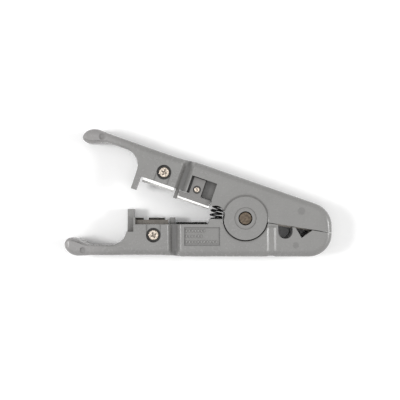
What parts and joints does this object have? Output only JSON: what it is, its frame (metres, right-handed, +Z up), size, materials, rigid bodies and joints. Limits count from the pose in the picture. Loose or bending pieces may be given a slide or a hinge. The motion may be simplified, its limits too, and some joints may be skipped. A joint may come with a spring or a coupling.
{
  "type": "cable stripper",
  "caption": "Squeeze cable stripper: moulded levers lapped on a pivot pin and sprung apart, flat-cable blades by the finger hooks, a round-cable jaw with seat and V notch at the nose.",
  "frame": {"origin": "the pivot axis where the pin's far end lies flush in the plane that the tool rests on", "axes": "+Z up along the pivot axis, out of the face with the screws; +X from the finger hooks to the nose, along the lower lever; +Y across, from the lower lever to the upper one"},
  "size_m": [0.126, 0.0603, 0.016],
  "materials": {
    "lever_plastic": "fine spark-eroded grey moulding",
    "carrier_plastic": "fine matt, a little darker than the levers",
    "pin_brass": "dull, browned",
    "spring_steel": "blackened wire",
    "blade_steel": "ground bright",
    "dark_steel": "blackened and ground",
    "screw_steel": "nickel plated"
  },
  "bodies": {
    "lower_half": {"lower_lever": "lever_plastic", "pivot_pin": "pin_brass", "return_spring": "spring_steel", "stripping_blade_lower": "dark_steel", "blade_screw_lower": "screw_steel", "cutter_anvil": "dark_steel"},
    "upper_half": {"upper_lever": "lever_plastic", "stripping_blade_upper": "blade_steel", "blade_screw_upper": "screw_steel", "cutter_blade": "blade_steel", "blade_carrier": "carrier_plastic", "carrier_screw": "screw_steel", "jaw_blade": "dark_steel"}
  },
  "joints": [
    {"name": "pivot", "type": "hinge", "parent": "lower_half", "child": "upper_half", "pos_m": [0, 0, 0], "axis": [0, 0, 1], "range_deg": [0, 19], "stiffness_Nm_per_rad": 0.06, "springref_deg": -20.05, "deforming": ["return_spring"]}
  ]
}
